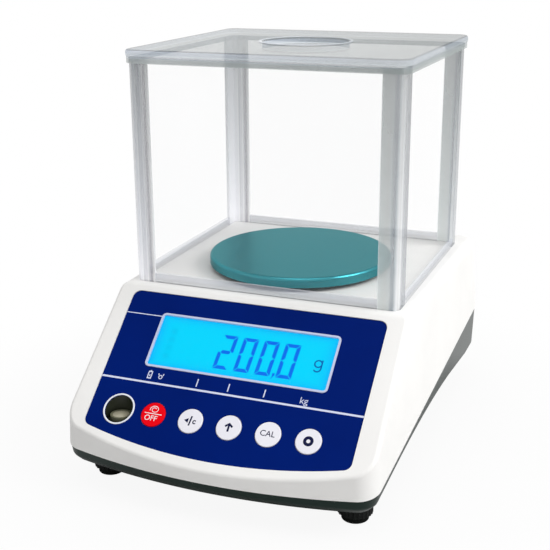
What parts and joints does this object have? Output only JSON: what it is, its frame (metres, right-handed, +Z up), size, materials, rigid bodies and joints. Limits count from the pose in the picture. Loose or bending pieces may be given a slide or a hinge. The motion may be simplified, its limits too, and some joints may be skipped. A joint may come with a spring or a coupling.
{
  "type": "precision balance",
  "caption": "Electronic precision balance with a round steel pan in a clear draft shield, sloped key panel with a lit display, spirit level and levelling feet.",
  "frame": {"origin": "on the bench under the middle of the housing", "axes": "+X to the right as seen from the keys, +Y to the rear, +Z up"},
  "size_m": [0.1988, 0.278, 0.2516],
  "materials": {
    "white_abs": "fine moulded texture",
    "dark_abs": "fine moulded texture",
    "blue_overlay": "printed polycarbonate film",
    "pale_frame": "smooth moulded",
    "clear_window": "clear polycarbonate",
    "lcd_glass": "lit liquid crystal cell",
    "light_guide": "frosted acrylic",
    "circuit_board": "solder mask",
    "black_plastic": "moulded",
    "zinc_steel": "zinc plated",
    "red_key": "moulded",
    "white_key": "moulded",
    "white_trim": "moulded",
    "grey_plastic": "moulded",
    "level_fluid": "tinted liquid",
    "pan_steel": "satin, with a teal cast",
    "black_rubber": "moulded",
    "cast_aluminium": "machined",
    "cell_aluminium": "machined",
    "brass_insert": "turned",
    "clear_frame": "clear acrylic, polished",
    "clear_pane": "clear acrylic sheet"
  },
  "bodies": {
    "housing": {"upper_housing": "white_abs", "lower_housing": "dark_abs", "panel_overlay": "blue_overlay", "display_frame": "pale_frame", "display_window": "clear_window", "lcd_panel": "lcd_glass", "lcd_backlight": "light_guide", "display_board": "circuit_board", "key_switches": "black_plastic", "display_board_screws": "zinc_steel", "level_ring": "white_trim", "level_sleeve": "black_plastic", "level_vial": "grey_plastic", "level_fluid": "level_fluid", "level_cap": "clear_window", "pan_cushions": "black_rubber", "pan_support": "cast_aluminium", "pan_post": "cast_aluminium", "load_bridge": "cast_aluminium", "load_cell": "cell_aluminium", "load_cell_block": "cast_aluminium", "load_cell_screws": "zinc_steel", "overload_stop": "zinc_steel", "main_board": "circuit_board", "main_board_parts": "black_plastic", "main_board_screws": "zinc_steel", "battery": "grey_plastic", "battery_cover": "dark_abs", "battery_cover_screws": "zinc_steel", "power_inlet": "black_plastic", "case_screws": "zinc_steel", "foot_inserts": "brass_insert", "load_cell_cable": "black_plastic", "display_cable": "grey_plastic"},
    "pan": {"weighing_pan": "pan_steel"},
    "shield": {"shield_bottom_rails": "clear_frame", "shield_posts": "clear_frame", "shield_top_rails": "clear_frame", "front_pane": "clear_pane", "rear_pane": "clear_pane", "left_pane": "clear_pane", "right_pane": "clear_pane"},
    "lid": {"shield_lid": "clear_frame"},
    "power_key": {"power_key": "red_key"},
    "tare_key": {"tare_key": "white_key"},
    "up_key": {"up_key": "white_key"},
    "cal_key": {"cal_key": "white_key"},
    "unit_key": {"unit_key": "white_key"},
    "foot_pad_fl": {"foot_pad_fl": "black_rubber"},
    "foot_screw_fl": {"foot_screw_fl": "black_plastic"},
    "foot_pad_fr": {"foot_pad_fr": "black_rubber"},
    "foot_screw_fr": {"foot_screw_fr": "black_plastic"},
    "foot_pad_rl": {"foot_pad_rl": "black_rubber"},
    "foot_screw_rl": {"foot_screw_rl": "black_plastic"},
    "foot_pad_rr": {"foot_pad_rr": "black_rubber"},
    "foot_screw_rr": {"foot_screw_rr": "black_plastic"}
  },
  "joints": [
    {"name": "pan_lift", "type": "slide", "parent": "housing", "child": "pan", "axis": [0, 0, 1], "range_m": [0, 0.1]},
    {"name": "shield_lift", "type": "slide", "parent": "housing", "child": "shield", "axis": [0, 0, 1], "range_m": [0, 0.15]},
    {"name": "lid_lift", "type": "slide", "parent": "shield", "child": "lid", "axis": [0, 0, 1], "range_m": [0, 0.08]},
    {"name": "power_key_press", "type": "slide", "parent": "housing", "child": "power_key", "axis": [0, 0.6547, -0.7559], "range_m": [0, 0.0006], "stiffness_N_per_m": 800, "springref_m": -0.0004},
    {"name": "tare_key_press", "type": "slide", "parent": "housing", "child": "tare_key", "axis": [0, 0.6547, -0.7559], "range_m": [0, 0.0006], "stiffness_N_per_m": 800, "springref_m": -0.0004},
    {"name": "up_key_press", "type": "slide", "parent": "housing", "child": "up_key", "axis": [0, 0.6547, -0.7559], "range_m": [0, 0.0006], "stiffness_N_per_m": 800, "springref_m": -0.0004},
    {"name": "cal_key_press", "type": "slide", "parent": "housing", "child": "cal_key", "axis": [0, 0.6547, -0.7559], "range_m": [0, 0.0006], "stiffness_N_per_m": 800, "springref_m": -0.0004},
    {"name": "unit_key_press", "type": "slide", "parent": "housing", "child": "unit_key", "axis": [0, 0.6547, -0.7559], "range_m": [0, 0.0006], "stiffness_N_per_m": 800, "springref_m": -0.0004},
    {"name": "foot_fl_lift", "type": "slide", "parent": "housing", "child": "foot_pad_fl", "axis": [0, 0, 1], "range_m": [-0.004, 0.004]},
    {"name": "foot_fl_turn", "type": "hinge", "parent": "foot_pad_fl", "child": "foot_screw_fl", "pos_m": [-0.0788, -0.1035, 0.008], "axis": [0, 0, 1], "range_deg": [-1443, 1443]},
    {"name": "foot_fr_lift", "type": "slide", "parent": "housing", "child": "foot_pad_fr", "axis": [0, 0, 1], "range_m": [-0.004, 0.004]},
    {"name": "foot_fr_turn", "type": "hinge", "parent": "foot_pad_fr", "child": "foot_screw_fr", "pos_m": [0.0788, -0.1035, 0.008], "axis": [0, 0, 1], "range_deg": [-1443, 1443]},
    {"name": "foot_rl_lift", "type": "slide", "parent": "housing", "child": "foot_pad_rl", "axis": [0, 0, 1], "range_m": [-0.004, 0.004]},
    {"name": "foot_rl_turn", "type": "hinge", "parent": "foot_pad_rl", "child": "foot_screw_rl", "pos_m": [-0.066, 0.095, 0.008], "axis": [0, 0, 1], "range_deg": [-1443, 1443]},
    {"name": "foot_rr_lift", "type": "slide", "parent": "housing", "child": "foot_pad_rr", "axis": [0, 0, 1], "range_m": [-0.004, 0.004]},
    {"name": "foot_rr_turn", "type": "hinge", "parent": "foot_pad_rr", "child": "foot_screw_rr", "pos_m": [0.066, 0.095, 0.008], "axis": [0, 0, 1], "range_deg": [-1443, 1443]}
  ],
  "couplings": [
    {"joint": "foot_fl_turn", "follows": "foot_fl_lift", "rad_per_m": 6283.2},
    {"joint": "foot_fr_turn", "follows": "foot_fr_lift", "rad_per_m": 6283.2},
    {"joint": "foot_rl_turn", "follows": "foot_rl_lift", "rad_per_m": 6283.2},
    {"joint": "foot_rr_turn", "follows": "foot_rr_lift", "rad_per_m": 6283.2}
  ]
}
